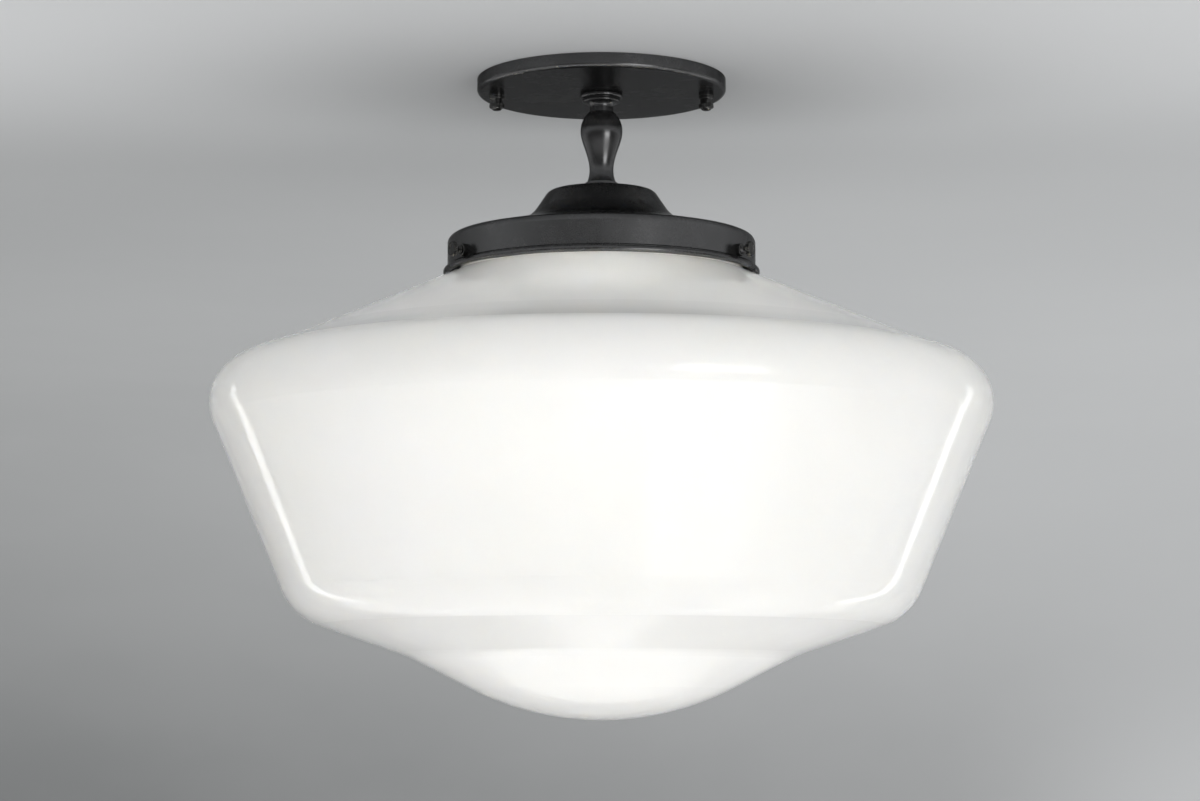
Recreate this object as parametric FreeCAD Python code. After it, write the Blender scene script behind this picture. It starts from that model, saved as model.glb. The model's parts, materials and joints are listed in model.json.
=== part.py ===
"""Semi flush ceiling light: a round canopy, a turned neck and a spun holder that carries an opal glass shade.

Millimetres, +Z up. The origin is the centre of the ceiling plane, where the canopy's rim and the crossbar
meet the ceiling, so the light hangs below z = 0. The two canopy nuts lie on the X axis.
Profiles are lists of (radius, height, corner rounding) that are turned about the Z axis.
"""
import FreeCAD, Part
import math
import os

# ---- Driving dimensions -------------------------------------------------------------------------------

# Clearances
CLOSE = 0.05            # between pieces that are screwed or pressed together
RUNNING = 0.08          # between a screw and the thread that it turns in
LOOSE = 0.2             # between a rod and a plain hole round it
SEAT = 0.3              # between the glass and what holds it
PAST = 1.0              # how far a cutting shape runs past the face that it cuts

# Canopy: a shallow pan with its open side up
CANOPY_RADIUS = 63.5
CANOPY_DEPTH = 7.2
CANOPY_WALL = 1.0
CANOPY_ROUNDING = 2.1

# Crossbar: the strap that is screwed to the ceiling box
BAR_END = 5.5           # from a stud's axis to the end of the bar
BAR_WIDTH = 16.0
BAR_THICK = 2.0
BAR_CORNER = 4.0        # rounding of the four corners
BAR_EYE_RADIUS = 18.5
BAR_HOLE_RADIUS = 11.0
SLOT_SPACING = 79.4
SLOT_WIDTH = 4.8
SLOT_LENGTH = 16.0
GROUND_SCREW_X = 25.0
GROUND_HEAD_FLATS = 6.4
GROUND_HEAD_HEIGHT = 2.2
GROUND_FLANGE_RADIUS = 4.2
GROUND_FLANGE_THICK = 0.7
GROUND_SCREW_SHOWS = 4.0    # above the crossbar

# Studs, canopy nuts and their washers
STUD_SPACING = 107.0
STUD_RADIUS = 2.08
STUD_GRIP = 5.0         # length of stud inside the nut
STUD_END_ROUNDING = 0.5
HEX_FLATS = 8.7
HEX_HEIGHT = 3.1
NUT_WASHER_RADIUS = 3.8
NUT_WASHER_THICK = 1.0
NUT_ROUNDING = 0.35     # lower edges of washer and base
NUT_BASE_HEIGHT = 1.6
NUT_WAIST_RADIUS = 2.9
NUT_WAIST_HEIGHT = 2.4
NUT_DISC_RADIUS = 3.8
NUT_DISC_HEIGHT = 2.1
NUT_DOME_HEIGHT = 1.3
NUT_DOME_RADIUS = 2.74
NUT_DOME_FLAT = 1.9
NUT_DOME_ROUNDING = 0.78
KNURL_TEETH = 26
KNURL_DEPTH = 0.28
KNURL_RIM = 0.4         # bevel of a knurled disc's edges

# Hollow threaded rod down the middle, with its nuts and washers
ROD_RADIUS = 5.1
ROD_WALL = 1.5
ROD_NUT_FLATS = 14.0
ROD_NUT_HEIGHT = 3.0
ROD_END = 2.0           # rod that stands past the lowest nut
ROD_TOP_SHOW = 0.9      # rod that stands past the highest nut
CANOPY_WASHER_RADIUS = 10.0
CANOPY_WASHER_THICK = 0.8
HOLDER_WASHER_RADIUS = 13.0
HOLDER_WASHER_THICK = 1.2

# Collar under the canopy, outward from the rod's hole
COLLAR_WALL = 0.65
COLLAR_FLANGE = 5.6
COLLAR_GROOVE = 3.6
COLLAR_STEP = 4.3
COLLAR_FLANGE_HEIGHT = 2.3
COLLAR_GROOVE_HEIGHT = 0.5
COLLAR_STEP_HEIGHT = 1.6
COLLAR_HEIGHT = 9.6
COLLAR_COVE = 2.55      # rounding of the hollow under the step
RING_ROUNDNESS = 0.45   # edge rounding of the turned rings, as a share of their height

# Turned neck, outward from the rod's hole
NECK_HEIGHT = 40.9
NECK_TOP_WALL = 1.3
NECK_SHOULDER = 4.2
NECK_SHOULDER_DROP = 4.05
NECK_BELLY = 5.4
NECK_BELLY_DROP = 9.0
NECK_WAIST = 0.8
NECK_WAIST_DROP = 29.2
NECK_ABOVE_RING = 2.3
NECK_RING = 2.9
NECK_RING_HEIGHT = 0.7
NECK_FOOT = 5.7
NECK_FOOT_HEIGHT = 3.8
NECK_FOOT_EDGE = 1.2
NECK_HOLLOW = 3.6       # the foot's hollow at its middle
NECK_HOLLOW_HEIGHT = 2.2

# Holder: dome, shelf, band and rolled bead, spun from one sheet
HOLDER_WALL = 0.9
DOME_RADIUS = 27.0
DOME_ROUNDING = 4.5
DOME_HEIGHT = 15.4
DOME_SPREAD = 10.3      # how much wider the dome is at its foot
DOME_FLARE = 20.0
SHELF_DROP = 9.2
SHELF_ROUNDING = 3.6
BAND_HEIGHT = 15.7
GROOVE_DEPTH = 0.35
GROOVE_HEIGHT = 0.9
BEAD_OUT = 2.15
BEAD_HEIGHT = 3.2
BEAD_ROUNDING = 1.57
BEAD_INNER_ROUNDING = 0.96

# Glass shade
GLASS_WALL = 3.0
GLASS_NECK_RADIUS = 71.5
GLASS_NECK_HEIGHT = 7.8
GLASS_NECK_ROUNDING = 5.0
LIP_OUT = 4.0
LIP_HEIGHT = 5.6
LIP_ROUNDING = 1.6
LIP_INNER_ROUNDING = 1.0
LIP_TO_HOLDER = 1.75    # sideways play of the lip in the holder
SHOULDER_BREAK_RADIUS = 166.0
SHOULDER_BREAK_DROP = 41.7
SHOULDER_BLEND = 250.0
WIDE_CORNER_RADIUS = 204.5
WIDE_CORNER_DROP = 53.7
WIDE_CORNER_ROUNDING = 23.4
LOW_CORNER_RADIUS = 154.4
LOW_CORNER_DROP = 174.2
LOW_CORNER_ROUNDING = 30.0
BOWL_BREAK_RADIUS = 97.0
BOWL_BREAK_DROP = 193.9
BOWL_BLEND = 60.0
BOWL_TIP_RADIUS = 34.65     # where the bowl's slope would meet the level of its lowest point
GLASS_HEIGHT = 225.7    # from the foot of the glass neck to the lowest point

# Thumb screws round the holder
SCREW_AZIMUTHS = {"left": -150.0, "right": -30.0, "back": 90.0}
SCREW_RADIUS = 2.08
SCREW_ABOVE_EDGE = 7.1  # screw axis above the holder's lower edge
SCREW_SHOWN = 3.0       # bare thread between bush and head
SCREW_HEAD_RADIUS = 3.7
SCREW_HEAD_HEIGHT = 2.4
SCREW_DISH_RADIUS = 2.0     # the hollow in the head's outer face
SCREW_DISH_WALL = 0.2       # how much wider the hollow is at its mouth
SCREW_DISH_DEPTH = 0.35
BUSH_WALL = 0.45
BUSH_COLLAR_RADIUS = 3.15
BUSH_COLLAR_HEIGHT = 2.3
BUSH_ROUNDING = 0.4
BUSH_FOOT_RADIUS = 3.0
BUSH_FOOT_HEIGHT = 0.85
TIP_RADIUS = 1.95
TIP_LENGTH = 2.0
TIP_ROUNDING = 0.5
TIP_PIN_RADIUS = 0.9
TIP_PIN_LENGTH = 1.2

# Lampholder
SOCKET_CAP_WALL = 0.8
SOCKET_CAP_HEIGHT = 11.0
SOCKET_CAP_ROUNDING = 2.5
SOCKET_RADIUS = 18.6
SOCKET_WELL_RADIUS = 13.0
SOCKET_WELL_DEPTH = 17.9
SOCKET_FLOOR = 4.0
SOCKET_MOUTH_DEPTH = 25.0
SOCKET_FOOT_ROUNDING = 1.5
SOCKET_MOUTH_ROUNDING = 0.8
SOCKET_SCREW_PLACE = 15.8
SOCKET_SCREW_RADIUS = 1.4
SOCKET_SCREW_DEPTH = 14.0
SOCKET_SCREW_HEAD_RADIUS = 2.5
SOCKET_SCREW_HEAD_HEIGHT = 1.5
THREAD_PITCH = 3.629    # lamp thread
THREAD_TURNS = 5
THREAD_DEPTH = 0.65
THREAD_ROUNDING = 1.7
THREAD_CLEAR_RADIUS = 13.15     # inside the shell's ridges
SHELL_WALL = 0.35
SHELL_FLANGE = 3.6
TERMINAL_NEAR = 4.0
TERMINAL_LENGTH = 8.0
TERMINAL_WIDTH = 6.0
TERMINAL_HEIGHT = 4.5
TERMINAL_SCREW_PLACE = 9.6
TERMINAL_SCREW_RADIUS = 1.2
TERMINAL_SCREW_DEPTH = 3.4
TERMINAL_HEAD_RADIUS = 1.9
TERMINAL_HEAD_HEIGHT = 1.3
CONTACT_THICK = 0.6
CONTACT_WIDTH = 6.0
CONTACT_REACH = 8.4
CONTACT_POST_PLACE = 6.5
CONTACT_POST_RADIUS = 1.5
RIVET_RADIUS = 0.9
RIVET_PLACE = 10.9

# Leads
LEAD_RADIUS = 1.0
LEAD_FROM_AXIS = 1.4
LEAD_TERMINAL_PLACE = 6.2
LEAD_IN_TERMINAL = 3.0
LEAD_BEND = 7.0
LEAD_ABOVE_CEILING = 12.0
LEAD_BARE_RADIUS = 0.6
LEAD_BARE_LENGTH = 9.0

# Bulb
BULB_CONTACT_RADIUS = 4.6
BULB_CONTACT_HEIGHT = 1.4
BULB_CONTACT_ROUNDING = 0.8
BULB_INSULATOR_HEIGHT = 2.6
BULB_INSULATOR_TOP_RADIUS = 5.4
BULB_INSULATOR_ROUNDING = 0.5
BULB_INSULATOR_STEP = 1.5   # how far it stays inside the base
BULB_BASE_STEP = 0.5        # how far the base's top is turned in
BULB_BASE_ROUNDING = 0.8
BULB_RADIUS = 30.0
BULB_FLAT = 0.6         # how far the ball falls short of a full round
BULB_LENGTH = 106.0
BULB_NECK = 8.0         # straight neck below the base
BULB_NECK_BLEND = 14.0
BULB_CONE = 38.0        # from the end of the neck to the ball
BULB_WALL = 0.8

# ---- Heights worked out from the stack, all measured from the ceiling plane ------------------------------

canopy_face = -CANOPY_DEPTH
canopy_inside = canopy_face + CANOPY_WALL
neck_top = canopy_face - COLLAR_HEIGHT
holder_top = neck_top - NECK_HEIGHT
holder_inside = holder_top - HOLDER_WALL
shelf_foot = holder_top - DOME_HEIGHT
band_top = shelf_foot - SHELF_DROP
band_edge = band_top - BAND_HEIGHT - BEAD_HEIGHT
bead_top = band_edge + BEAD_HEIGHT
screw_height = band_edge + SCREW_ABOVE_EDGE
holder_nut_top = holder_inside - HOLDER_WASHER_THICK
socket_cap_top = holder_nut_top - ROD_NUT_HEIGHT
socket_top = socket_cap_top - SOCKET_CAP_WALL
socket_nut_foot = socket_top - ROD_NUT_HEIGHT
rod_foot = socket_nut_foot - ROD_END
rod_nut_top = canopy_inside + CANOPY_WASHER_THICK + ROD_NUT_HEIGHT
rod_top = rod_nut_top + ROD_TOP_SHOW
well_floor = socket_top - SOCKET_WELL_DEPTH
mouth_roof = well_floor - SOCKET_FLOOR
socket_foot = mouth_roof - SOCKET_MOUTH_DEPTH
contact_face = mouth_roof - CONTACT_THICK
insulator_top = contact_face - BULB_CONTACT_HEIGHT
bulb_base_top = insulator_top - BULB_INSULATOR_HEIGHT
lip_foot = screw_height + SCREW_RADIUS + SEAT
glass_neck_foot = lip_foot - GLASS_NECK_HEIGHT

# Lengths and radii worked out from what passes through
bar_length = STUD_SPACING + 2 * BAR_END
rod_hole = ROD_RADIUS + LOOSE
stud_hole = STUD_RADIUS + LOOSE
lip_radius = GLASS_NECK_RADIUS + LIP_OUT
band_inside = lip_radius + LIP_TO_HOLDER
band_radius = band_inside + HOLDER_WALL
thread_hole = SCREW_RADIUS + RUNNING
bush_radius = thread_hole + BUSH_WALL
shell_outside = THREAD_CLEAR_RADIUS + THREAD_DEPTH + SHELL_WALL
base_radius = THREAD_CLEAR_RADIUS - LOOSE


# ---- Shape helpers ---------------------------------------------------------------------------------------

def vec(x, y=0.0, z=0.0):
    return FreeCAD.Vector(x, y, z)


def outline(points):
    """Close a profile of (radius, height, rounding) in the XZ plane, with an arc at each rounded corner."""
    arcs = []
    count = len(points)
    for i, (x, z, rounding) in enumerate(points):
        here = vec(x, 0, z)
        before = vec(points[i - 1][0], 0, points[i - 1][1]) - here
        after = vec(points[(i + 1) % count][0], 0, points[(i + 1) % count][1]) - here
        before.normalize()
        after.normalize()
        half_turn = (math.pi - before.getAngle(after)) / 2
        if rounding < 1e-9 or half_turn < 1e-9:
            arcs.append((here, here, here))
            continue
        reach = rounding * math.tan(half_turn)
        inward = before + after
        inward.normalize()
        middle = here + inward * (rounding / math.cos(half_turn) - rounding)
        arcs.append((here + before * reach, middle, here + after * reach))
    edges = []
    for i, (start, middle, end) in enumerate(arcs):
        if (end - start).Length > 1e-6:
            edges.append(Part.Arc(start, middle, end).toShape())
        next_start = arcs[(i + 1) % count][0]
        if (next_start - end).Length > 1e-6:
            edges.append(Part.LineSegment(end, next_start).toShape())
    return Part.Wire(edges)


def turned(points):
    """Turn a closed profile about the Z axis into a solid."""
    return Part.Face(outline(points)).revolve(vec(0, 0, 0), vec(0, 0, 1), 360)


def shifted(path, gap):
    """Move an open path sideways by gap, to the left of its run, and keep its arcs concentric."""
    legs = []
    for (x0, z0, _), (x1, z1, _) in zip(path, path[1:]):
        length = math.hypot(x1 - x0, z1 - z0)
        legs.append(((x1 - x0) / length, (z1 - z0) / length))
    first, last = path[0], path[-1]
    moved = [(first[0] - legs[0][1] * gap, first[1] + legs[0][0] * gap, 0)]
    for (ux, uz), (vx, vz), (x, z, rounding) in zip(legs, legs[1:], path[1:]):
        cross = ux * vz - uz * vx
        along = gap * (1 - (ux * vx + uz * vz)) / cross
        new_rounding = rounding - gap if cross > 0 else rounding + gap
        moved.append((x - uz * gap - ux * along, z + ux * gap - uz * along, rounding and new_rounding))
    moved.append((last[0] - legs[-1][1] * gap, last[1] + legs[-1][0] * gap, 0))
    return moved


def sheet(path, gap):
    """Turn a path into a sheet on the left of its run, or on the right if the gap is negative."""
    return turned(path + shifted(path, gap)[::-1])


def tube(outer, inner, top, foot):
    """A ring or tube between two heights."""
    return turned([(inner, top, 0), (outer, top, 0), (outer, foot, 0), (inner, foot, 0)])


def rod(radius, top, foot, x=0.0, y=0.0):
    return Part.makeCylinder(radius, top - foot, vec(x, y, foot))


def block(x0, x1, y0, y1, z0, z1):
    return Part.makeBox(x1 - x0, y1 - y0, z1 - z0, vec(x0, y0, z0))


def polygon_prism(corners, foot, height):
    points = [vec(radius * math.cos(angle), radius * math.sin(angle), foot) for radius, angle in corners]
    return Part.Face(Part.makePolygon(points + points[:1])).extrude(vec(0, 0, height))


def hex_nut(flats, height, hole, foot):
    """A hexagon nut whose corners are taken off by a cone at both ends."""
    corner = flats / 2 / math.cos(math.pi / 6)
    prism = polygon_prism([(corner, math.pi / 3 * i) for i in range(6)], foot, height)
    top = foot + height
    bevel = corner - flats / 2
    body = turned([
        (hole, foot, 0), (flats / 2, foot, 0), (corner, foot + bevel / 2, 0),
        (corner, top - bevel / 2, 0), (flats / 2, top, 0), (hole, top, 0),
    ])
    return prism.common(body)


def knurled(body, radius, foot, height):
    """Cut straight V grooves round the rim of a turned body, between two heights."""
    step = math.pi / KNURL_TEETH
    rim = [(radius - KNURL_DEPTH * (i % 2), step * i) for i in range(2 * KNURL_TEETH)]
    ring = rod(radius + PAST, foot + height + KNURL_DEPTH, foot - KNURL_DEPTH)
    return body.cut(ring.cut(polygon_prism(rim, foot - PAST, height + 2 * PAST)))


def at_azimuth(shape, azimuth):
    """Lay a shape that was made along +Z so that it points outward from the light's axis."""
    placed = shape.copy()
    placed.rotate(vec(0, 0, 0), vec(0, 1, 0), 90)
    placed.rotate(vec(0, 0, 0), vec(0, 0, 1), azimuth)
    placed.translate(vec(0, 0, screw_height))
    return placed


def moved_x(shape, x):
    placed = shape.copy()
    placed.translate(vec(x, 0, 0))
    return placed


def ridges(low, high, top):
    """Points of a rounded thread form that runs down from a height."""
    points = []
    for i in range(2 * THREAD_TURNS):
        radius = low if i % 2 else high
        points.append((radius, top - THREAD_PITCH / 2 * (i + 0.5), THREAD_ROUNDING))
    return points


# ---- Ceiling side ------------------------------------------------------------------------------------------

def crossbar():
    strap = block(-bar_length / 2, bar_length / 2, -BAR_WIDTH / 2, BAR_WIDTH / 2, -BAR_THICK, 0)
    strap = strap.fuse(rod(BAR_EYE_RADIUS, 0, -BAR_THICK)).removeSplitter()
    upright = [
        e for e in strap.Edges
        if abs(abs(e.CenterOfMass.x) - bar_length / 2) < 1e-6 and abs(e.CenterOfMass.z + BAR_THICK / 2) < 1e-6
    ]
    strap = strap.makeFillet(BAR_CORNER, upright)
    below = -BAR_THICK - PAST
    strap = strap.cut(rod(BAR_HOLE_RADIUS, PAST, below))
    for side in (-1, 1):
        middle = side * SLOT_SPACING / 2
        half = (SLOT_LENGTH - SLOT_WIDTH) / 2
        slot = block(middle - half, middle + half, -SLOT_WIDTH / 2, SLOT_WIDTH / 2, below, PAST)
        for end in (-half, half):
            slot = slot.fuse(rod(SLOT_WIDTH / 2, PAST, below, middle + end))
        strap = strap.cut(slot)
        strap = strap.cut(rod(STUD_RADIUS + CLOSE, PAST, below, side * STUD_SPACING / 2))
    return strap.cut(rod(STUD_RADIUS + CLOSE, PAST, below, GROUND_SCREW_X))


def stud():
    foot = canopy_face - NUT_WASHER_THICK - STUD_GRIP
    return turned([(0, 0, 0), (STUD_RADIUS, 0, 0), (STUD_RADIUS, foot, STUD_END_ROUNDING), (0, foot, 0)])


def ground_screw():
    foot = -BAR_THICK - GROUND_HEAD_HEIGHT
    head = hex_nut(GROUND_HEAD_FLATS, GROUND_HEAD_HEIGHT, 0, foot)
    flange = rod(GROUND_FLANGE_RADIUS, -BAR_THICK, -BAR_THICK - GROUND_FLANGE_THICK)
    return head.fuse([flange, rod(STUD_RADIUS, GROUND_SCREW_SHOWS, -BAR_THICK)]).removeSplitter()


def canopy():
    path = [(rod_hole, canopy_face, 0), (CANOPY_RADIUS, canopy_face, CANOPY_ROUNDING), (CANOPY_RADIUS, 0, 0)]
    pan = sheet(path, CANOPY_WALL)
    for side in (-1, 1):
        pan = pan.cut(rod(stud_hole, canopy_inside + PAST, canopy_face - PAST, side * STUD_SPACING / 2))
    return pan


def cap_washer():
    top = canopy_face
    foot = top - NUT_WASHER_THICK
    return turned([
        (stud_hole, top, 0), (NUT_WASHER_RADIUS, top, 0),
        (NUT_WASHER_RADIUS, foot, NUT_ROUNDING), (stud_hole, foot, 0),
    ])


def cap_nut():
    top = canopy_face - NUT_WASHER_THICK
    base_foot = top - NUT_BASE_HEIGHT
    disc_top = base_foot - NUT_WAIST_HEIGHT
    disc_foot = disc_top - NUT_DISC_HEIGHT
    foot = disc_foot - NUT_DOME_HEIGHT
    bore = STUD_RADIUS + RUNNING
    bore_end = top - STUD_GRIP - LOOSE
    body = turned([
        (bore, top, 0), (NUT_WASHER_RADIUS, top, 0), (NUT_WASHER_RADIUS, base_foot, NUT_ROUNDING),
        (NUT_WAIST_RADIUS, base_foot, 0), (NUT_WAIST_RADIUS, disc_top, 0),
        (NUT_DISC_RADIUS - KNURL_RIM, disc_top, 0), (NUT_DISC_RADIUS, disc_top - KNURL_RIM, 0),
        (NUT_DISC_RADIUS, disc_foot + KNURL_RIM, 0), (NUT_DISC_RADIUS - KNURL_RIM, disc_foot, 0),
        (NUT_DOME_RADIUS, disc_foot, 0), (NUT_DOME_FLAT, foot, NUT_DOME_ROUNDING),
        (0, foot, 0), (0, bore_end, 0), (bore, bore_end, 0),
    ])
    return knurled(body, NUT_DISC_RADIUS, disc_foot, NUT_DISC_HEIGHT)


# ---- Neck and holder ---------------------------------------------------------------------------------------

def neck_collar():
    """A rounded flange, a groove, a rounded step and a cove down to the neck."""
    flange_foot = canopy_face - COLLAR_FLANGE_HEIGHT
    step_top = flange_foot - COLLAR_GROOVE_HEIGHT
    step_foot = step_top - COLLAR_STEP_HEIGHT
    flange_rounding = COLLAR_FLANGE_HEIGHT * RING_ROUNDNESS
    step_rounding = COLLAR_STEP_HEIGHT * RING_ROUNDNESS
    return turned([
        (rod_hole, canopy_face, 0), (rod_hole + COLLAR_FLANGE, canopy_face, flange_rounding),
        (rod_hole + COLLAR_FLANGE, flange_foot, flange_rounding),
        (rod_hole + COLLAR_GROOVE, flange_foot, 0), (rod_hole + COLLAR_GROOVE, step_top, 0),
        (rod_hole + COLLAR_STEP, step_top, step_rounding), (rod_hole + COLLAR_STEP, step_foot, step_rounding),
        (rod_hole + COLLAR_WALL, step_foot, COLLAR_COVE),
        (rod_hole + COLLAR_WALL, neck_top, 0), (rod_hole, neck_top, 0),
    ])


def neck():
    """A vase shape: one smooth curve through the belly and the waist, a small ring and a flared foot."""
    ring_foot = holder_top + NECK_FOOT_HEIGHT
    ring_top = ring_foot + NECK_RING_HEIGHT
    waist = neck_top - NECK_WAIST_DROP
    belly = neck_top - NECK_BELLY_DROP
    side = Part.BSplineCurve()
    side.interpolate([
        vec(rod_hole + NECK_TOP_WALL, 0, neck_top),
        vec(rod_hole + NECK_SHOULDER, 0, neck_top - NECK_SHOULDER_DROP),
        vec(rod_hole + NECK_BELLY, 0, belly),
        vec(rod_hole + (NECK_BELLY + NECK_WAIST) / 2, 0, (belly + waist) / 2),
        vec(rod_hole + NECK_WAIST, 0, waist),
        vec(rod_hole + NECK_ABOVE_RING, 0, ring_top),
    ])
    foot = rod_hole + NECK_FOOT
    hollow = vec(rod_hole + NECK_HOLLOW, 0, holder_top + NECK_HOLLOW_HEIGHT)
    corners = [
        vec(foot, 0, holder_top + NECK_FOOT_EDGE), vec(foot, 0, holder_top), vec(rod_hole, 0, holder_top),
        vec(rod_hole, 0, neck_top), vec(rod_hole + NECK_TOP_WALL, 0, neck_top),
    ]
    ring = [
        vec(rod_hole + NECK_ABOVE_RING, 0, ring_top), vec(rod_hole + NECK_RING, 0, ring_top),
        vec(rod_hole + NECK_RING, 0, ring_foot),
    ]
    edges = [side.toShape()] + [Part.LineSegment(a, b).toShape() for a, b in zip(ring, ring[1:])]
    edges.append(Part.Arc(ring[-1], hollow, corners[0]).toShape())
    edges += [Part.LineSegment(a, b).toShape() for a, b in zip(corners, corners[1:])]
    return Part.Face(Part.Wire(edges)).revolve(vec(0, 0, 0), vec(0, 0, 1), 360)


def holder():
    path = [
        (rod_hole, holder_top, 0), (DOME_RADIUS, holder_top, DOME_ROUNDING),
        (DOME_RADIUS + DOME_SPREAD, shelf_foot, DOME_FLARE), (band_radius, band_top, SHELF_ROUNDING),
        (band_radius, bead_top + GROOVE_HEIGHT, 0),
    ]
    inside = shifted(path, -HOLDER_WALL)
    groove = band_radius - GROOVE_DEPTH
    bead = [
        (groove, bead_top + GROOVE_HEIGHT / 2, 0), (groove, bead_top, 0),
        (band_radius + BEAD_OUT, bead_top, BEAD_ROUNDING), (band_radius + BEAD_OUT, band_edge, BEAD_ROUNDING),
        (band_inside, band_edge, BEAD_INNER_ROUNDING),
    ]
    shell = turned(path + bead + inside[:-1][::-1])
    hole = rod(bush_radius + CLOSE, band_radius + PAST, band_inside - PAST)
    return shell.cut([at_azimuth(hole, azimuth) for azimuth in SCREW_AZIMUTHS.values()])


def bush():
    """A threaded bush through the band: a collar outside and a swaged foot inside."""
    sag = band_inside - math.sqrt(band_inside ** 2 - BUSH_FOOT_RADIUS ** 2)
    foot_top = band_inside - sag - CLOSE
    collar_top = band_radius + BUSH_COLLAR_HEIGHT
    return turned([
        (thread_hole, foot_top - BUSH_FOOT_HEIGHT, 0), (BUSH_FOOT_RADIUS, foot_top - BUSH_FOOT_HEIGHT, 0),
        (BUSH_FOOT_RADIUS, foot_top, 0), (bush_radius, foot_top, 0), (bush_radius, band_radius, 0),
        (BUSH_COLLAR_RADIUS, band_radius, 0), (BUSH_COLLAR_RADIUS, collar_top, BUSH_ROUNDING),
        (thread_hole, collar_top, 0),
    ])


def screw_tip():
    foot = GLASS_NECK_RADIUS + SEAT
    bore = TIP_PIN_RADIUS + CLOSE
    return turned([
        (0, foot, 0), (TIP_RADIUS, foot, TIP_ROUNDING), (TIP_RADIUS, foot + TIP_LENGTH, 0),
        (bore, foot + TIP_LENGTH, 0), (bore, foot + TIP_LENGTH - TIP_PIN_LENGTH - CLOSE, 0),
        (0, foot + TIP_LENGTH - TIP_PIN_LENGTH - CLOSE, 0),
    ])


def thumb_screw():
    shank_foot = GLASS_NECK_RADIUS + SEAT + TIP_LENGTH
    head_foot = band_radius + BUSH_COLLAR_HEIGHT + SCREW_SHOWN
    head_top = head_foot + SCREW_HEAD_HEIGHT
    dish_foot = head_top - SCREW_DISH_DEPTH
    body = turned([
        (0, shank_foot - TIP_PIN_LENGTH, 0), (TIP_PIN_RADIUS, shank_foot - TIP_PIN_LENGTH, 0),
        (TIP_PIN_RADIUS, shank_foot, 0), (SCREW_RADIUS, shank_foot, 0), (SCREW_RADIUS, head_foot, 0),
        (SCREW_HEAD_RADIUS - KNURL_RIM, head_foot, 0), (SCREW_HEAD_RADIUS, head_foot + KNURL_RIM, 0),
        (SCREW_HEAD_RADIUS, head_top - KNURL_RIM, 0), (SCREW_HEAD_RADIUS - KNURL_RIM, head_top, 0),
        (SCREW_DISH_RADIUS + SCREW_DISH_WALL, head_top, 0), (SCREW_DISH_RADIUS, dish_foot, 0),
        (0, dish_foot, 0),
    ])
    return knurled(body, SCREW_HEAD_RADIUS, head_foot, SCREW_HEAD_HEIGHT)


# ---- Glass shade -------------------------------------------------------------------------------------------

def shade():
    """A wide bowl with a sloping shoulder. Its lip rests on the thumb screws, under the holder's band."""
    foot = glass_neck_foot
    bottom = foot - GLASS_HEIGHT
    slope = math.atan2(GLASS_HEIGHT - BOWL_BREAK_DROP, BOWL_BREAK_RADIUS - BOWL_TIP_RADIUS)
    bottom_rounding = BOWL_TIP_RADIUS / math.tan(slope / 2)
    path = [
        (GLASS_NECK_RADIUS, lip_foot, 0), (GLASS_NECK_RADIUS, foot, GLASS_NECK_ROUNDING),
        (SHOULDER_BREAK_RADIUS, foot - SHOULDER_BREAK_DROP, SHOULDER_BLEND),
        (WIDE_CORNER_RADIUS, foot - WIDE_CORNER_DROP, WIDE_CORNER_ROUNDING),
        (LOW_CORNER_RADIUS, foot - LOW_CORNER_DROP, LOW_CORNER_ROUNDING),
        (BOWL_BREAK_RADIUS, foot - BOWL_BREAK_DROP, BOWL_BLEND),
        (BOWL_TIP_RADIUS, bottom, bottom_rounding), (0, bottom, 0),
    ]
    inside = shifted(path, -GLASS_WALL)
    lip_top = lip_foot + LIP_HEIGHT
    neck_inside = GLASS_NECK_RADIUS - GLASS_WALL
    lip = [
        (neck_inside, lip_top, LIP_INNER_ROUNDING), (lip_radius, lip_top, LIP_ROUNDING),
        (lip_radius, lip_foot, LIP_ROUNDING),
    ]
    return turned(lip + path + inside[1:][::-1])


# ---- Lampholder --------------------------------------------------------------------------------------------

def socket_cap():
    skirt = SOCKET_RADIUS + LOOSE + SOCKET_CAP_WALL
    path = [
        (rod_hole, socket_cap_top, 0), (skirt, socket_cap_top, SOCKET_CAP_ROUNDING),
        (skirt, socket_cap_top - SOCKET_CAP_HEIGHT, 0),
    ]
    cap = sheet(path, -SOCKET_CAP_WALL)
    hole = SOCKET_SCREW_RADIUS + CLOSE
    return cap.cut([
        rod(hole, socket_cap_top + PAST, socket_top - PAST, 0, side * SOCKET_SCREW_PLACE) for side in (-1, 1)
    ])


def socket_body():
    """Glazed body: a wiring well above, a floor, and the mouth for the lamp below."""
    mouth = shell_outside + LOOSE
    body = turned([
        (SOCKET_WELL_RADIUS, socket_top, 0), (SOCKET_RADIUS, socket_top, SOCKET_CAP_ROUNDING),
        (SOCKET_RADIUS, socket_foot, SOCKET_FOOT_ROUNDING), (mouth, socket_foot, SOCKET_MOUTH_ROUNDING),
        (mouth, mouth_roof, 0), (0, mouth_roof, 0), (0, well_floor, 0), (SOCKET_WELL_RADIUS, well_floor, 0),
    ])
    cuts = [
        rod(CONTACT_POST_RADIUS + CLOSE, well_floor + PAST, mouth_roof - PAST, CONTACT_POST_PLACE),
        rod(RIVET_RADIUS + CLOSE, well_floor + PAST, mouth_roof - PAST, -RIVET_PLACE),
    ]
    for side in (-1, 1):
        cuts.append(rod(
            SOCKET_SCREW_RADIUS + CLOSE, socket_top + PAST, socket_top - SOCKET_SCREW_DEPTH - CLOSE,
            0, side * SOCKET_SCREW_PLACE,
        ))
    return body.cut(cuts)


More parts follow.
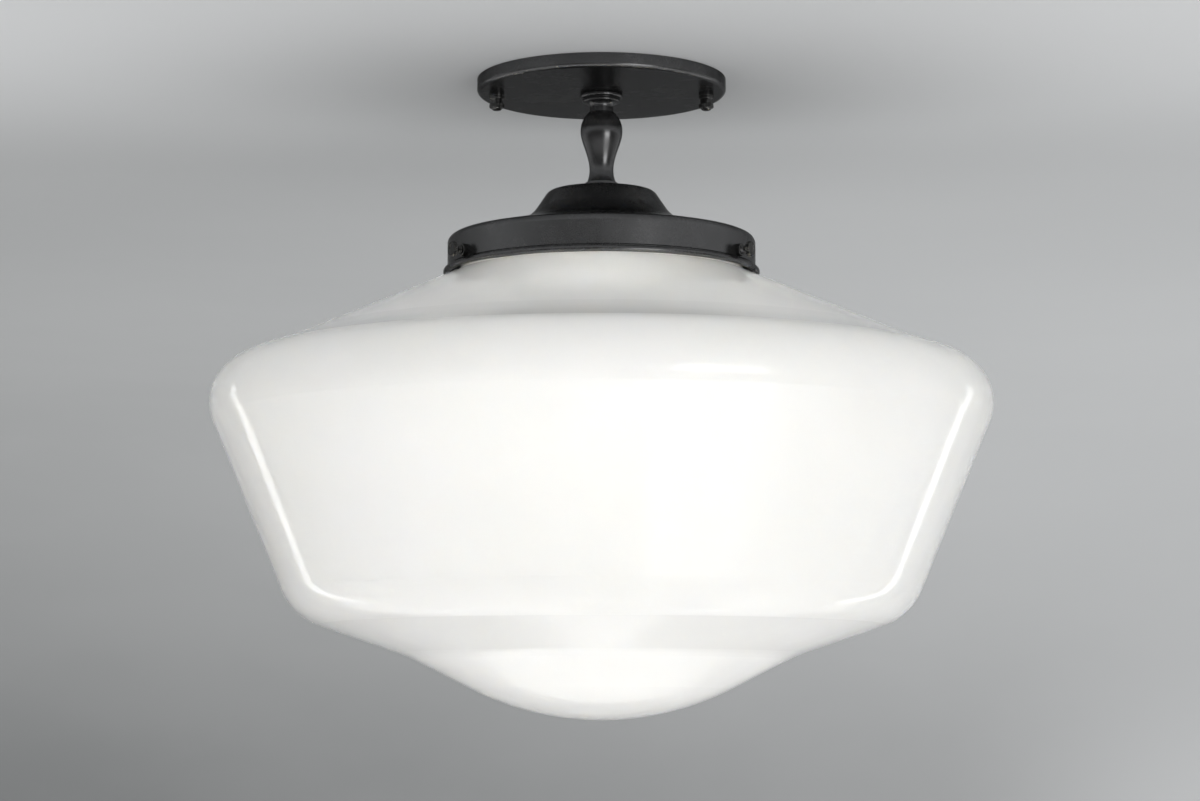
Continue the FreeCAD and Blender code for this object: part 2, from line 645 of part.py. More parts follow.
def socket_screws():
    screws = []
    for side in (-1, 1):
        y = side * SOCKET_SCREW_PLACE
        head = rod(SOCKET_SCREW_HEAD_RADIUS, socket_cap_top + SOCKET_SCREW_HEAD_HEIGHT, socket_cap_top, 0, y)
        shank = rod(SOCKET_SCREW_RADIUS, socket_cap_top, socket_top - SOCKET_SCREW_DEPTH, 0, y)
        screws.append(head.fuse(shank).removeSplitter())
    return Part.makeCompound(screws)


def screw_shell():
    """Thread for the lamp, rolled in thin sheet, with a flange under the floor of the body."""
    thread_top = mouth_roof - SHELL_WALL - THREAD_PITCH / 2
    low = THREAD_CLEAR_RADIUS + SHELL_WALL
    path = [(shell_outside - SHELL_FLANGE, mouth_roof, 0), (low, mouth_roof, 0)]
    path += ridges(low, low + THREAD_DEPTH, thread_top)
    path.append((low, thread_top - THREAD_PITCH * THREAD_TURNS - THREAD_PITCH / 4, 0))
    return sheet(path, -SHELL_WALL)


def terminal(side):
    near, far = side * TERMINAL_NEAR, side * (TERMINAL_NEAR + TERMINAL_LENGTH)
    top = well_floor + TERMINAL_HEIGHT
    body = block(min(near, far), max(near, far), -TERMINAL_WIDTH / 2, TERMINAL_WIDTH / 2, well_floor, top)
    screw_foot = top - TERMINAL_SCREW_DEPTH - CLOSE
    lead_hole = rod(LEAD_RADIUS + CLOSE, top + PAST, top - LEAD_IN_TERMINAL, side * LEAD_TERMINAL_PLACE)
    screw_hole = rod(TERMINAL_SCREW_RADIUS + CLOSE, top + PAST, screw_foot, side * TERMINAL_SCREW_PLACE)
    return body.cut([lead_hole, screw_hole])


def terminal_screws():
    top = well_floor + TERMINAL_HEIGHT
    screws = []
    for side in (-1, 1):
        x = side * TERMINAL_SCREW_PLACE
        head = rod(TERMINAL_HEAD_RADIUS, top + TERMINAL_HEAD_HEIGHT, top, x)
        shank = rod(TERMINAL_SCREW_RADIUS, top, top - TERMINAL_SCREW_DEPTH, x)
        screws.append(head.fuse(shank).removeSplitter())
    return Part.makeCompound(screws)


def centre_contact():
    half = CONTACT_WIDTH / 2
    plate = block(-half, CONTACT_REACH, -half, half, contact_face, mouth_roof)
    return plate.fuse(rod(CONTACT_POST_RADIUS, well_floor, mouth_roof, CONTACT_POST_PLACE)).removeSplitter()


def lead_route(side):
    """Down the hollow rod, then out to a terminal in one S bend."""
    start = vec(side * LEAD_FROM_AXIS, 0, LEAD_ABOVE_CEILING)
    end = vec(side * LEAD_TERMINAL_PLACE, 0, well_floor + TERMINAL_HEIGHT - LEAD_IN_TERMINAL)
    turn = math.acos(1 - (LEAD_TERMINAL_PLACE - LEAD_FROM_AXIS) / (2 * LEAD_BEND))
    drop = 2 * LEAD_BEND * math.sin(turn)
    bend_foot = well_floor + TERMINAL_HEIGHT
    bend_top = bend_foot + drop
    first = vec(side * LEAD_FROM_AXIS, 0, bend_top)
    middle = vec(side * (LEAD_FROM_AXIS + LEAD_TERMINAL_PLACE) / 2, 0, bend_top - drop / 2)
    last = vec(side * LEAD_TERMINAL_PLACE, 0, bend_foot)
    half_out = LEAD_BEND * (1 - math.cos(turn / 2))
    half_down = LEAD_BEND * math.sin(turn / 2)
    upper = vec(first.x + side * half_out, 0, first.z - half_down)
    lower = vec(last.x - side * half_out, 0, last.z + half_down)
    return Part.Wire([
        Part.LineSegment(start, first).toShape(), Part.Arc(first, upper, middle).toShape(),
        Part.Arc(middle, lower, last).toShape(), Part.LineSegment(last, end).toShape(),
    ])


def lead(side):
    route = lead_route(side)
    start = vec(side * LEAD_FROM_AXIS, 0, LEAD_ABOVE_CEILING)
    section = Part.Wire(Part.makeCircle(LEAD_RADIUS, start, vec(0, 0, -1)))
    swept = route.makePipeShell([section], True, False)
    drift = swept.Volume / (math.pi * LEAD_RADIUS ** 2 * route.Length) - 1
    print(f"lead bend radius {LEAD_BEND} mm, volume against section times length {drift:+.5f}")
    return swept


def lead_ends():
    top = LEAD_ABOVE_CEILING + LEAD_BARE_LENGTH
    return Part.makeCompound([
        rod(LEAD_BARE_RADIUS, top, LEAD_ABOVE_CEILING, side * LEAD_FROM_AXIS) for side in (-1, 1)
    ])


# ---- Bulb --------------------------------------------------------------------------------------------------

def bulb_contact():
    return turned([
        (0, contact_face, 0), (BULB_CONTACT_RADIUS, contact_face, BULB_CONTACT_ROUNDING),
        (BULB_CONTACT_RADIUS, insulator_top, 0), (0, insulator_top, 0),
    ])


def bulb_insulator():
    edge = base_radius - THREAD_DEPTH - BULB_INSULATOR_STEP
    return turned([
        (0, insulator_top, 0), (BULB_INSULATOR_TOP_RADIUS, insulator_top, BULB_INSULATOR_ROUNDING),
        (edge, bulb_base_top, 0), (0, bulb_base_top, 0),
    ])


def bulb_base():
    """Rolled thread with a turned-in top that the insulator sits on."""
    low = base_radius - THREAD_DEPTH
    path = [
        (BULB_INSULATOR_TOP_RADIUS, bulb_base_top, 0), (low - BULB_BASE_STEP, bulb_base_top, BULB_BASE_ROUNDING),
    ]
    path += ridges(low, base_radius, bulb_base_top - THREAD_PITCH / 4)
    path.append((low, bulb_base_top - THREAD_PITCH * (THREAD_TURNS + 0.75), 0))
    return sheet(path, -SHELL_WALL)


def bulb_envelope():
    """Frosted glass: a neck inside the base, a cone and a ball."""
    neck_radius = base_radius - THREAD_DEPTH - SHELL_WALL - LOOSE
    top = bulb_base_top - THREAD_PITCH * THREAD_TURNS
    neck_foot = top - BULB_NECK
    bottom = contact_face - BULB_LENGTH
    rounding = BULB_RADIUS - BULB_FLAT
    path = [
        (neck_radius, top, 0), (neck_radius, neck_foot, BULB_NECK_BLEND),
        (BULB_RADIUS, neck_foot - BULB_CONE, rounding), (BULB_RADIUS, bottom, rounding),
        (0, bottom, 0),
    ]
    return sheet(path, -BULB_WALL)


# ---- All sub-parts, by the name of their node --------------------------------------------------------------

def ring_of_nut(top):
    return hex_nut(ROD_NUT_FLATS, ROD_NUT_HEIGHT, ROD_RADIUS + CLOSE, top - ROD_NUT_HEIGHT)


def sub_parts():
    parts = {
        "crossbar": crossbar(),
        "ground_screw": moved_x(ground_screw(), GROUND_SCREW_X),
        "canopy": canopy(),
        "stem_rod": tube(ROD_RADIUS, ROD_RADIUS - ROD_WALL, rod_top, rod_foot),
        "canopy_washer": tube(CANOPY_WASHER_RADIUS, rod_hole, rod_nut_top - ROD_NUT_HEIGHT, canopy_inside),
        "canopy_locknut": ring_of_nut(rod_nut_top),
        "neck_collar": neck_collar(),
        "neck": neck(),
        "holder": holder(),
        "holder_washer": tube(HOLDER_WASHER_RADIUS, rod_hole, holder_inside, holder_nut_top),
        "holder_locknut": ring_of_nut(holder_nut_top),
        "shade": shade(),
        "socket_cap": socket_cap(),
        "socket_locknut": ring_of_nut(socket_top),
        "socket_screws": socket_screws(),
        "socket_body": socket_body(),
        "screw_shell": screw_shell(),
        "shell_rivet": rod(RIVET_RADIUS, well_floor, mouth_roof, -RIVET_PLACE),
        "centre_contact": centre_contact(),
        "terminal_line": terminal(1),
        "terminal_neutral": terminal(-1),
        "terminal_screws": terminal_screws(),
        "lead_black": lead(1),
        "lead_white": lead(-1),
        "lead_ends": lead_ends(),
        "bulb_contact": bulb_contact(),
        "bulb_insulator": bulb_insulator(),
        "bulb_base": bulb_base(),
        "bulb_envelope": bulb_envelope(),
    }
    for name, side in (("left", -1), ("right", 1)):
        x = side * STUD_SPACING / 2
        locknut = hex_nut(HEX_FLATS, HEX_HEIGHT, STUD_RADIUS + CLOSE, -BAR_THICK - HEX_HEIGHT)
        parts[f"stud_{name}"] = moved_x(stud(), x)
        parts[f"stud_locknut_{name}"] = moved_x(locknut, x)
        parts[f"cap_washer_{name}"] = moved_x(cap_washer(), x)
        parts[f"cap_nut_{name}"] = moved_x(cap_nut(), x)
    for name, azimuth in SCREW_AZIMUTHS.items():
        parts[f"bush_{name}"] = at_azimuth(bush(), azimuth)
        parts[f"screw_tip_{name}"] = at_azimuth(screw_tip(), azimuth)
        parts[f"thumb_screw_{name}"] = at_azimuth(thumb_screw(), azimuth)
    return parts


os.makedirs("parts", exist_ok=True)
for node, shape in sub_parts().items():
    if not shape.isValid():
        print("not valid:", node)
    shape.exportStep(f"parts/{node}.step")
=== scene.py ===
import json
import math

import bmesh
import bpy
from mathutils import Matrix, Vector


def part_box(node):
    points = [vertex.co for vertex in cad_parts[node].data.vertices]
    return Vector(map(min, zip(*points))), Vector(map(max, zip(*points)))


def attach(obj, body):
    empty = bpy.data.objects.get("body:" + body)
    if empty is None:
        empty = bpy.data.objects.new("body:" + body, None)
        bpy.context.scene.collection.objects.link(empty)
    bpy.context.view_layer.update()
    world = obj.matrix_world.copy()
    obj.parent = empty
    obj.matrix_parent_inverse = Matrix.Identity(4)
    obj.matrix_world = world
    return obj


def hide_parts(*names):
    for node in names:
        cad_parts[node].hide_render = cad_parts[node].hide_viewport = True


# The looks of the semi flush ceiling light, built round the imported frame. Metres, +Z up.

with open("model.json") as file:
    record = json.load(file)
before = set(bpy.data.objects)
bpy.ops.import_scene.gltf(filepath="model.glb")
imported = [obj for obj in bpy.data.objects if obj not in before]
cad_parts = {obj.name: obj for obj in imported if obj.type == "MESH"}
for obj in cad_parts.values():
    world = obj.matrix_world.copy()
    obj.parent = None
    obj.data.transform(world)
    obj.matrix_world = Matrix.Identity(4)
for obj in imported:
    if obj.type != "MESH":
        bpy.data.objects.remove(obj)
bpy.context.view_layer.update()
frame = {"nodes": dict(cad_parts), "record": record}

# ---- Camera: level with the middle of the shade, tilted up at the photograph's angle -------------

IMAGE_WIDTH = 1200
FOCAL_PIXELS = 2900
SENSOR = 36.0
CAMERA_PLACE = (-0.00075, -1.4563, -0.3283)
CAMERA_TILT = 6.412

camera_data = bpy.data.cameras.new("camera")
camera_data.sensor_width = SENSOR
camera_data.lens = SENSOR * FOCAL_PIXELS / IMAGE_WIDTH
camera_data.clip_start = 0.05
camera_data.clip_end = 50.0
camera = bpy.data.objects.new("camera", camera_data)
camera.location = CAMERA_PLACE
camera.rotation_euler = (math.radians(90 + CAMERA_TILT), 0, 0)
bpy.context.collection.objects.link(camera)
bpy.context.scene.camera = camera


# ---- Helpers for node materials ------------------------------------------------------------------

class Shader:
    """A material with one Principled shader, and short calls for the nodes that feed it."""

    def __init__(self, name, **sockets):
        self.material = bpy.data.materials.new(name)
        self.material.use_nodes = True
        self.tree = self.material.node_tree
        self.surface = self.tree.nodes["Principled BSDF"]
        for socket, value in sockets.items():
            self.set(socket.replace("_", " "), value)
        self.place = None

    def set(self, socket, value):
        if isinstance(value, bpy.types.NodeSocket):
            self.tree.links.new(value, self.surface.inputs[socket])
        else:
            self.surface.inputs[socket].default_value = value

    def node(self, kind, settings=(), **inputs):
        made = self.tree.nodes.new(kind)
        for key, value in dict(settings).items():
            setattr(made, key, value)
        for key, value in inputs.items():
            socket = made.inputs[int(key[1:])] if key[0] == "i" and key[1:].isdigit() else made.inputs[key]
            if isinstance(value, bpy.types.NodeSocket):
                self.tree.links.new(value, socket)
            else:
                socket.default_value = value
        return made

    def where(self, stretch=None):
        if self.place is None:
            self.place = self.node("ShaderNodeTexCoord").outputs["Object"]
        if stretch is None:
            return self.place
        return self.node("ShaderNodeMapping", Vector=self.place, Scale=stretch).outputs["Vector"]

    def noise(self, scale, detail=2.0, rough=0.5, stretch=None):
        return self.node("ShaderNodeTexNoise", Vector=self.where(stretch), Scale=scale, Detail=detail,
                         Roughness=rough).outputs["Fac"]

    def ramp(self, value, low, high, out_low=0.0, out_high=1.0):
        return self.node("ShaderNodeMapRange", {"interpolation_type": "SMOOTHSTEP"}, i0=value, i1=low,
                         i2=high, i3=out_low, i4=out_high).outputs["Result"]

    def mix(self, factor, first, second):
        return self.node("ShaderNodeMix", {"data_type": "RGBA"}, i0=factor, i6=first, i7=second).outputs[2]

    def sum(self, first, second, operation="ADD"):
        return self.node("ShaderNodeMath", {"operation": operation}, i0=first, i1=second).outputs[0]

    def bump(self, height, distance, strength):
        made = self.node("ShaderNodeBump", Height=height, Distance=distance, Strength=strength)
        return made.outputs["Normal"]

    def edges(self, radius):
        """0 on flat places and up to 1 on sharp outer and inner edges."""
        rounded = self.node("ShaderNodeBevel", {"samples": 4}, Radius=radius).outputs["Normal"]
        plain = self.node("ShaderNodeNewGeometry").outputs["Normal"]
        cosine = self.node("ShaderNodeVectorMath", {"operation": "DOT_PRODUCT"}, i0=rounded, i1=plain)
        return self.ramp(cosine.outputs["Value"], 0.97, 0.80)


def grey(value):
    return (value, value, value, 1)


def tinted(colour, share=1.0):
    """A colour of three parts as a socket takes it, darker or lighter by a share."""
    return tuple(share * part for part in colour) + (1,)


# ---- Materials -----------------------------------------------------------------------------------

def black_paint(name, colour, roughness, grain):
    """Satin black paint on metal: fine grain, uneven sheen and slightly rubbed edges."""
    m = Shader(name, Metallic=0.9, Specular_Tint=grey(0.3))
    patches = m.noise(38, 3, 0.55)
    fine = m.noise(2600, 2, 0.6)
    rubbed = m.sum(m.edges(0.0006), m.ramp(m.noise(420, 3, 0.6), 0.42, 0.62), "MULTIPLY")
    paint = m.mix(m.ramp(patches, 0.3, 0.7), tinted(colour, 0.9), tinted(colour, 1.1))
    m.set("Base Color", m.mix(m.sum(rubbed, 0.35, "MULTIPLY"), paint, (0.30, 0.295, 0.285, 1)))
    m.set("Roughness", m.sum(m.ramp(patches, 0.25, 0.75, roughness - 0.04, roughness + 0.05),
                             m.ramp(fine, 0.2, 0.8, -0.03, 0.03)))
    m.set("Normal", m.bump(fine, grain, 0.6))
    return m.material


def steel(name, colour, roughness, streaks):
    """Bright plated steel with rolling streaks and faint cloudy spangle."""
    m = Shader(name, Metallic=1.0)
    lines = m.noise(1.0, 4, 0.65, stretch=streaks)
    clouds = m.noise(120, 3, 0.6)
    m.set("Base Color", m.mix(m.ramp(clouds, 0.3, 0.7), tinted(colour, 0.82), tinted(colour)))
    m.set("Roughness", m.sum(m.ramp(lines, 0.2, 0.8, roughness - 0.08, roughness + 0.1),
                             m.ramp(clouds, 0.2, 0.8, -0.03, 0.05)))
    m.set("Normal", m.bump(lines, 0.00002, 0.5))
    return m.material


def plated(name, colour, tarnish, roughness):
    """Small bright metal pieces with a little tarnish."""
    m = Shader(name, Metallic=1.0)
    stain = m.ramp(m.noise(300, 4, 0.6), 0.35, 0.75)
    m.set("Base Color", m.mix(stain, tinted(colour), tinted(tarnish)))
    m.set("Roughness", m.ramp(m.noise(900, 3, 0.6), 0.2, 0.8, roughness - 0.05, roughness + 0.12))
    return m.material


def opal_glass():
    """Opal glass, white through, under a clear glossy skin that waves a little."""
    m = Shader("opal_glass", Roughness=0.08, IOR=1.45, Subsurface_Weight=0.55, Subsurface_Scale=0.006,
               Coat_Weight=0.25, Coat_Roughness=0.04)
    m.surface.inputs["Subsurface Radius"].default_value = (1.0, 0.98, 0.94)
    clouds = m.noise(9, 3, 0.5)
    m.set("Base Color", m.mix(m.ramp(clouds, 0.3, 0.7), (0.90, 0.90, 0.885, 1), (0.93, 0.93, 0.92, 1)))
    waves = m.sum(m.noise(14, 1, 0.4, stretch=(1, 1, 0.5)), m.sum(m.noise(60, 1, 0.4), 0.12, "MULTIPLY"))
    skin = m.bump(waves, 0.0006, 0.5)
    m.set("Normal", skin)
    m.set("Coat Normal", skin)
    return m.material


def glazed_ceramic():
    m = Shader("porcelain", Roughness=0.12, Coat_Weight=0.6, Coat_Roughness=0.05)
    specks = m.ramp(m.noise(1400, 2, 0.5), 0.68, 0.78)
    tone = m.mix(m.ramp(m.noise(60, 3, 0.5), 0.3, 0.7), (0.80, 0.79, 0.74, 1), (0.88, 0.87, 0.83, 1))
    m.set("Base Color", m.mix(m.sum(specks, 0.5, "MULTIPLY"), tone, (0.45, 0.42, 0.36, 1)))
    m.set("Normal", m.bump(m.noise(220, 2, 0.5), 0.0001, 0.4))
    return m.material


def plastic(name, colour, roughness, bump_scale, bump_depth):
    m = Shader(name)
    tone = m.ramp(m.noise(150, 3, 0.5), 0.3, 0.7)
    m.set("Base Color", m.mix(tone, tinted(colour, 0.85), tinted(colour)))
    m.set("Roughness", m.ramp(m.noise(500, 3, 0.6), 0.2, 0.8, roughness - 0.06, roughness + 0.08))
    m.set("Normal", m.bump(m.noise(bump_scale, 2, 0.5), bump_depth, 0.5))
    return m.material


def frosted_glass():
    """Lamp glass with a soft white coat on its inner face."""
    m = Shader("frosted_glass", IOR=1.5, Subsurface_Weight=0.4, Subsurface_Scale=0.002, Coat_Weight=0.3)
    frost = m.noise(900, 3, 0.6)
    m.set("Base Color", m.mix(m.ramp(frost, 0.3, 0.7), (0.86, 0.86, 0.84, 1), (0.92, 0.92, 0.90, 1)))
    m.set("Roughness", m.ramp(frost, 0.2, 0.8, 0.2, 0.34))
    m.set("Normal", m.bump(frost, 0.00003, 0.5))
    return m.material


LENGTHWISE = (8, 900, 900)
MATERIALS = {
    "black_metal": black_paint("black_metal", (0.15, 0.15, 0.152), 0.25, 0.00003),
    "black_hardware": black_paint("black_hardware", (0.12, 0.119, 0.117), 0.17, 0.00001),
    "opal_glass": opal_glass(),
    "zinc_steel": steel("zinc_steel", (0.62, 0.63, 0.64), 0.34, LENGTHWISE),
    "green_metal": plastic("green_metal", (0.03, 0.26, 0.09), 0.32, 800, 0.00003),
    "porcelain": glazed_ceramic(),
    "brass": plated("brass", (0.80, 0.60, 0.28), (0.48, 0.32, 0.14), 0.22),
    "nickel": plated("nickel", (0.72, 0.70, 0.66), (0.45, 0.43, 0.39), 0.20),
    "soft_tip": plastic("soft_tip", (0.09, 0.09, 0.09), 0.7, 1200, 0.00004),
    "black_insulation": plastic("black_insulation", (0.025, 0.025, 0.025), 0.5, 700, 0.00003),
    "white_insulation": plastic("white_insulation", (0.82, 0.82, 0.79), 0.5, 700, 0.00003),
    "copper": plated("copper", (0.80, 0.42, 0.27), (0.42, 0.20, 0.12), 0.26),
    "black_vitrite": plastic("black_vitrite", (0.02, 0.02, 0.025), 0.15, 600, 0.00002),
    "lamp_base": plated("lamp_base", (0.76, 0.77, 0.78), (0.58, 0.58, 0.57), 0.24),
    "frosted_glass": frosted_glass(),
}

slot_of = {entry["node"]: entry["material_slot"] for entry in frame["record"]["subparts"]}
for node, thing in frame["nodes"].items():
    thing.data.materials.clear()
    thing.data.materials.append(MATERIALS[slot_of[node]])


# ---- Pieces with finer form than their solids: threads, knurls, slots and twisted strands --------

MM = 0.001
SEGMENTS = 208          # a whole number for each tooth of a knurl
SCREW_RADIUS = 2.08
SCREW_PITCH = 0.79375
SCREW_THREAD = 0.28     # depth of the thread of studs and thumb screws
PIPE_PITCH = 0.941
PIPE_THREAD = 0.4
ROD_WALL = 1.5
CORNER_STEPS = 5
SHARP_ANGLE = 32        # degrees; a sharper edge isn't shaded smooth
KNURL_TEETH = 26
KNURL_DEPTH = 0.3
RINGS_PER_TURN = 7      # of the screw threads
PIPE_RINGS_PER_TURN = 5


def span(node):
    """Lowest and highest corner of a CAD node, in millimetres."""
    low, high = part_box(node)
    return Vector(low) / MM, Vector(high) / MM


def ring(radius, height, cut=None):
    """One ring of a turned piece. cut(angle, height) is taken off the radius; radius 0 gives one point."""
    if radius == 0:
        return [Vector((0, 0, height))]
    points = []
    for i in range(SEGMENTS):
        angle = 2 * math.pi * i / SEGMENTS
        r = radius - (cut(angle, height) if cut else 0)
        points.append(Vector((r * math.cos(angle), r * math.sin(angle), height)))
    return points


def rounded_edge(radius, face, size, inward, cut=None):
    """Rings of a quarter round between a face and the side. inward is +1 or -1, the way into the piece."""
    rings = []
    for i in range(CORNER_STEPS + 1):
        turn = math.pi / 2 * i / CORNER_STEPS
        height = face + inward * size * (1 - math.cos(turn))
        rings.append(ring(radius - size * (1 - math.sin(turn)), height, cut))
    return rings


def threaded(radius, pitch, depth, foot, top, per_turn=RINGS_PER_TURN):
    """Rings of a V thread that runs out at both ends."""
    def cut(angle, height):
        phase = (height / pitch - angle / (2 * math.pi)) % 1.0
        full = min(1.0, (height - foot) / pitch, (top - height) / pitch)
        groove = min(1.0, 1.25 * abs(2 * phase - 1))
        return depth * (groove * full + 1 - full)
    count = max(2, round((top - foot) / pitch * per_turn))
    return [ring(radius, foot + (top - foot) * i / count, cut) for i in range(count + 1)]


def knurl(foot, top, rim):
    """V grooves round a rim that fade out over its rounded edges."""
    def cut(angle, height):
        wave = abs((angle * KNURL_TEETH / (2 * math.pi)) % 1.0 * 2 - 1)
        return KNURL_DEPTH * (1 - wave) * max(0.0, min(1.0, (height - foot) / rim, (top - height) / rim))
    return cut


def knurled_disc(radius, foot, top, rim):
    cut = knurl(foot, top, rim)
    return rounded_edge(radius, foot, rim, 1, cut) + rounded_edge(radius, top, rim, -1, cut)[::-1]


def finished(name, mesh, slot, body, node):
    """Makes the object of a mesh that was built in millimetres. It takes the place of a CAD node."""
    bmesh.ops.scale(mesh, vec=(MM, MM, MM), verts=mesh.verts)
    bmesh.ops.recalc_face_normals(mesh, faces=mesh.faces)
    data = bpy.data.meshes.new(name)
    mesh.to_mesh(data)
    mesh.free()
    data.shade_smooth()
    data.set_sharp_from_angle(angle=math.radians(SHARP_ANGLE))
    data.materials.append(MATERIALS[slot])
    made = bpy.data.objects.new(name, data)
    bpy.context.collection.objects.link(made)
    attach(made, body)
    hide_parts(node)


def turned_piece(name, rings, slot, body, node, place):
    """Skin over rings, moved to its place by a matrix in millimetres."""
    mesh = bmesh.new()
    rows = [[mesh.verts.new(place @ point) for point in points] for points in rings]
    for low, high in zip(rows, rows[1:]):
        for i in range(SEGMENTS):
            j = (i + 1) % SEGMENTS
            if len(low) == 1:
                mesh.faces.new((low[0], high[i], high[j]))
            elif len(high) == 1:
                mesh.faces.new((low[i], low[j], high[0]))
            else:
                mesh.faces.new((low[i], low[j], high[j], high[i]))
    finished(name, mesh, slot, body, node)


def beside(node):
    """The matrix that puts a piece made on the Z axis on the upright axis of a node."""
    low, high = span(node)
    middle = (low + high) / 2
    return Matrix.Translation((middle.x, middle.y, 0))


def thumb_screw(name, azimuth):
    """A knurled head with a shallow dish, a threaded shank and the pin that holds the soft tip."""
    low, high = span("thumb_screw_back")
    pin_radius, pin_length, head_height = 0.9, 1.2, 2.4
    dish_radius, dish_depth = 2.2, 0.35
    wide = (high.z - low.z) / 2
    shank, foot, top = low.y + pin_length, high.y - head_height, high.y
    rings = [ring(0, low.y), ring(pin_radius, low.y), ring(pin_radius, shank)]
    rings += threaded(SCREW_RADIUS, SCREW_PITCH, SCREW_THREAD, shank, foot)
    rings += knurled_disc(wide, foot, top, 0.45)
    rings += [ring(dish_radius + 0.15, top), ring(dish_radius, top - 0.05),
              ring(dish_radius - 0.2, top - 0.28), ring(dish_radius - 0.5, top - dish_depth),
              ring(0, top - dish_depth)]
    outward = Matrix.Rotation(math.radians(azimuth), 4, "Z") @ Matrix.Rotation(math.radians(90), 4, "Y")
    place = Matrix.Translation((0, 0, (low.z + high.z) / 2)) @ outward
    node = "thumb_screw_" + name
    turned_piece(node + "_turned", rings, "black_hardware", name + "_thumb_screw", node, place)


def cap_nut(name):
    """A ring foot, a waist, a knurled disc and a low dome, from the top down."""
    node = "cap_nut_" + name
    low, high = span(node)
    wide = (high.x - low.x) / 2
    waist, dome_height, disc_height, base_height = 2.9, 1.3, 2.1, 1.6
    bore_top, bore = low.z + 2, SCREW_RADIUS + 0.1
    disc_foot = low.z + dome_height
    disc_top = disc_foot + disc_height
    base_foot = high.z - base_height
    rings = [ring(0, low.z), ring(1.5, low.z + 0.06), ring(2.1, low.z + 0.25), ring(2.5, low.z + 0.6),
             ring(2.7, disc_foot - 0.2), ring(2.8, disc_foot)]
    rings += knurled_disc(wide, disc_foot, disc_top, 0.4)
    rings += [ring(waist + 0.25, disc_top), ring(waist, disc_top + 0.25), ring(waist, base_foot - 0.25),
              ring(waist + 0.25, base_foot)]
    rings += rounded_edge(wide, base_foot, 0.35, 1)
    rings += [ring(wide, high.z), ring(bore, high.z), ring(bore, bore_top), ring(0, bore_top)]
    turned_piece(node + "_turned", rings, "black_hardware", name + "_canopy_nut", node, beside(node))


def stud(name):
    node = "stud_" + name
    low, high = span(node)
    point = SCREW_RADIUS - SCREW_THREAD
    rings = [ring(0, low.z), ring(point, low.z)]
    rings += threaded(SCREW_RADIUS, SCREW_PITCH, SCREW_THREAD, low.z, high.z)
    rings.append(ring(0, high.z))
    turned_piece(node + "_threaded", rings, "zinc_steel", "fixture", node, beside(node))


def hollow_rod():
    """Pipe thread outside, a plain bore inside."""
    low, high = span("stem_rod")
    radius = (high.x - low.x) / 2
    bore = radius - ROD_WALL
    rings = [ring(bore, high.z), ring(bore, low.z)]
    rings += threaded(radius, PIPE_PITCH, PIPE_THREAD, low.z, high.z, PIPE_RINGS_PER_TURN)
    rings.append(ring(bore, high.z))
    turned_piece("stem_rod_threaded", rings, "zinc_steel", "fixture", "stem_rod", Matrix.Identity(4))


def ground_screw():
    """A hexagon head with a washer face and a driving slot, and a thread above the bar."""
    low, high = span("ground_screw")
    bar = span("crossbar")[0].z
    flange = (high.x - low.x) / 2
    corner = 3.2 / math.cos(math.pi / 6)
    slot_half, slot_depth, washer_face = 0.45, 1.1, 0.7

    def hexagon(angle, height):
        return corner - corner * math.cos(math.pi / 6) / math.cos(angle % (math.pi / 3) - math.pi / 6)

    def slotted(points):
        return [point + Vector((0, 0, slot_depth if abs(point.y) < slot_half else 0)) for point in points]

    rings = [ring(0, low.z + slot_depth)]
    rings += [slotted(ring(0.2 * i, low.z)) for i in range(1, 14)]
    rings += [ring(corner - 0.35, low.z, hexagon), ring(corner, low.z + 0.3, hexagon),
              ring(corner, bar - washer_face, hexagon), ring(flange - 0.1, bar - washer_face),
              ring(flange, bar - 0.55), ring(flange, bar)]
    rings += threaded(SCREW_RADIUS, SCREW_PITCH, SCREW_THREAD, bar, high.z)
    rings.append(ring(0, high.z))
    place = Matrix.Translation(((low.x + high.x) / 2, 0, 0))
    turned_piece("ground_screw_slotted", rings, "green_metal", "fixture", "ground_screw", place)


def lead_ends():
    """The bare ends of both leads: six wires twisted round a seventh."""
    low, high = span("lead_ends")
    thick = (high.y - low.y) / 2
    wire = thick / 3
    lay, around, steps = 6.0, 8, 40
    mesh = bmesh.new()
    for side in (low.x + thick, high.x - thick):
        for k in range(7):
            reach = 2 * wire if k else 0
            rows = []
            for i in range(steps + 1):
                z = low.z + (high.z - low.z) * i / steps
                angle = 2 * math.pi * (k / 6 + (z - low.z) / lay)
                middle = Vector((side + reach * math.cos(angle), reach * math.sin(angle), z))
                turns = [2 * math.pi * q / around for q in range(around)]
                rim = [Vector((math.cos(t), math.sin(t), 0)) for t in turns]
                rows.append([mesh.verts.new(middle + wire * point) for point in rim])
            for lower, upper in zip(rows, rows[1:]):
                for q in range(around):
                    r = (q + 1) % around
                    mesh.faces.new((lower[q], lower[r], upper[r], upper[q]))
            mesh.faces.new(rows[0])
            mesh.faces.new(rows[-1])
    finished("lead_ends_twisted", mesh, "copper", "fixture", "lead_ends")


for screw, direction in (("left", -150), ("right", -30), ("back", 90)):
    thumb_screw(screw, direction)
for side in ("left", "right"):
    cap_nut(side)
    stud(side)
hollow_rod()
ground_screw()
lead_ends()


# ---- Stage: a grey ceiling that turns down into a wall, with the hole of the ceiling box ---------

HOLE_RADIUS = 0.0605
HOLE_SIDES = 96
BEND_STEPS = 24
CEILING_Z = 0.0002
STAGE_SIDE = 4.0
STAGE_FRONT = -4.0
WALL_START = 1.3
WALL_BEND = 2.2
WALL_FOOT = -3.2
# A painted light patch on the ceiling in front, which the holder's band mirrors as its highlight.
PAINTED_LIGHT_PATCH = (0.5, -0.85, 0)    # of the ceiling in front, which the holder's band mirrors


